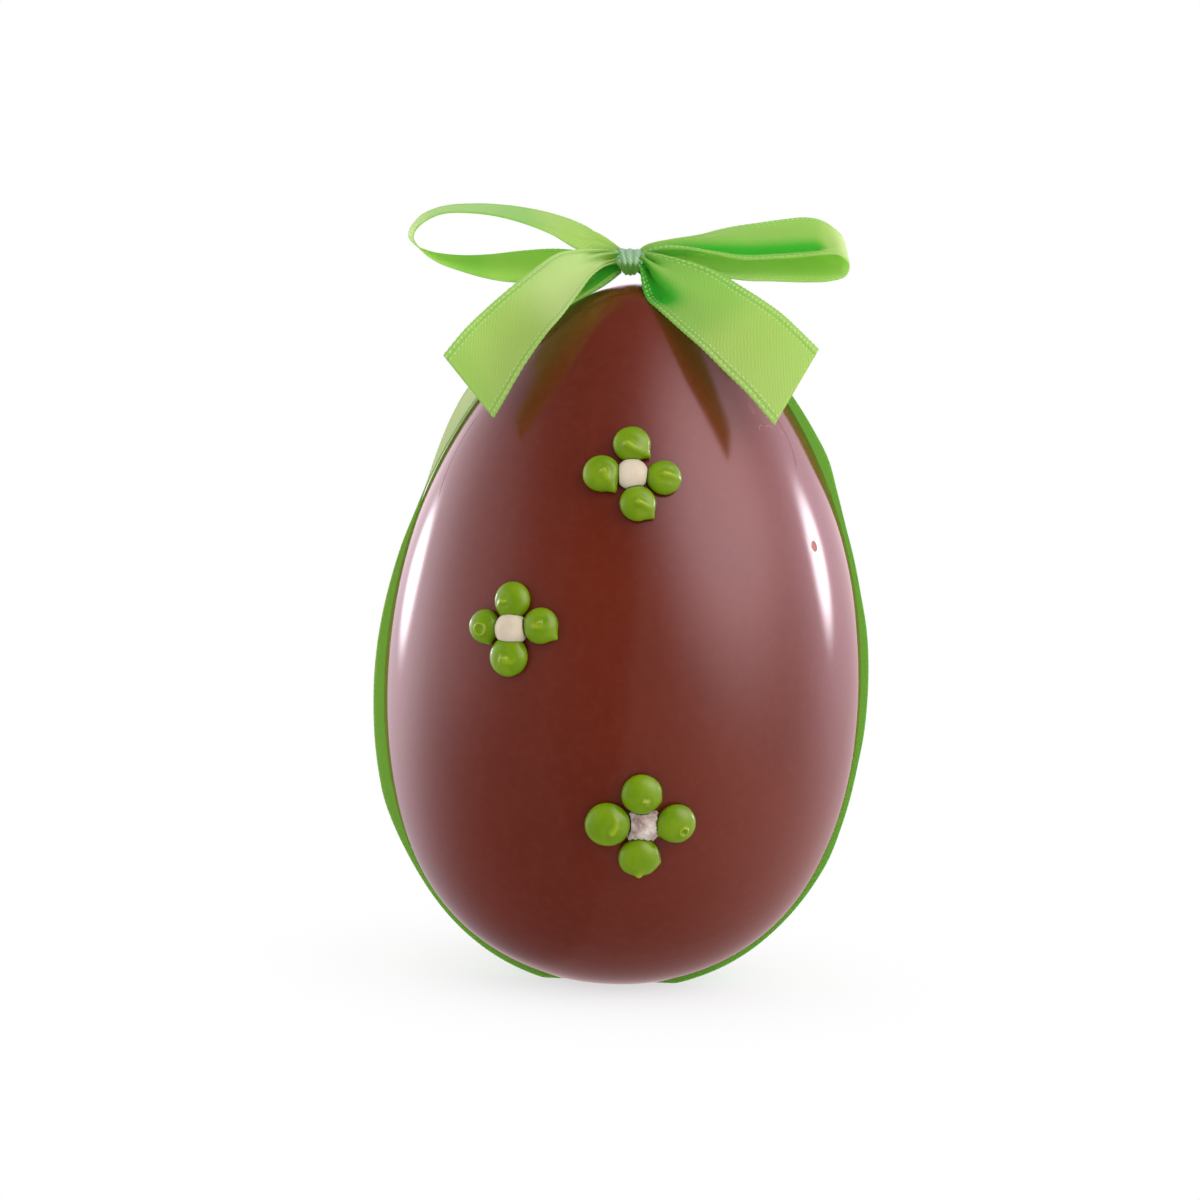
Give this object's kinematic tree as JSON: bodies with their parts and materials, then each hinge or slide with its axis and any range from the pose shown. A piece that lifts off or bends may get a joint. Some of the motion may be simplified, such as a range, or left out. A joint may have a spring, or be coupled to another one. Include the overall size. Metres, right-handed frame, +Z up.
{
  "type": "chocolate egg",
  "caption": "Chocolate egg that stands on its blunt end, tied round with a satin ribbon and a bow, with piped icing flowers on its front.",
  "frame": {"origin": "middle of the flat underside that the egg stands on", "axes": "+Z up along the egg's axis to the tip and the bow, -Y out of the decorated front, +X to the right as seen from the front"},
  "size_m": [0.1139, 0.1131, 0.1771],
  "materials": {
    "chocolate": "glossy milk chocolate, reddish brown, as it comes out of a polished mould",
    "satin_ribbon": "light lime-green satin with a soft sheen, fine crosswise weave and picot selvedges",
    "green_icing": "green chocolate icing, half glossy, set in smooth drops",
    "cream_icing": "cream-white chocolate icing, matt"
  },
  "bodies": {
    "root": {"egg": "chocolate", "flower_upper_drop_top": "green_icing", "flower_upper_drop_left": "green_icing", "flower_upper_drop_right": "green_icing", "flower_upper_drop_bottom": "green_icing", "flower_upper_centre": "cream_icing", "flower_middle_drop_top": "green_icing", "flower_middle_drop_left": "green_icing", "flower_middle_drop_right": "green_icing", "flower_middle_drop_bottom": "green_icing", "flower_middle_centre": "cream_icing", "flower_lower_drop_top": "green_icing", "flower_lower_drop_left": "green_icing", "flower_lower_drop_right": "green_icing", "flower_lower_drop_bottom": "green_icing", "flower_lower_centre": "cream_icing", "ribbon_band": "satin_ribbon", "ribbon_knot": "satin_ribbon", "bow_loop_left": "satin_ribbon", "bow_loop_right": "satin_ribbon", "bow_tail_left": "satin_ribbon", "bow_tail_right": "satin_ribbon"}
  },
  "joints": []
}
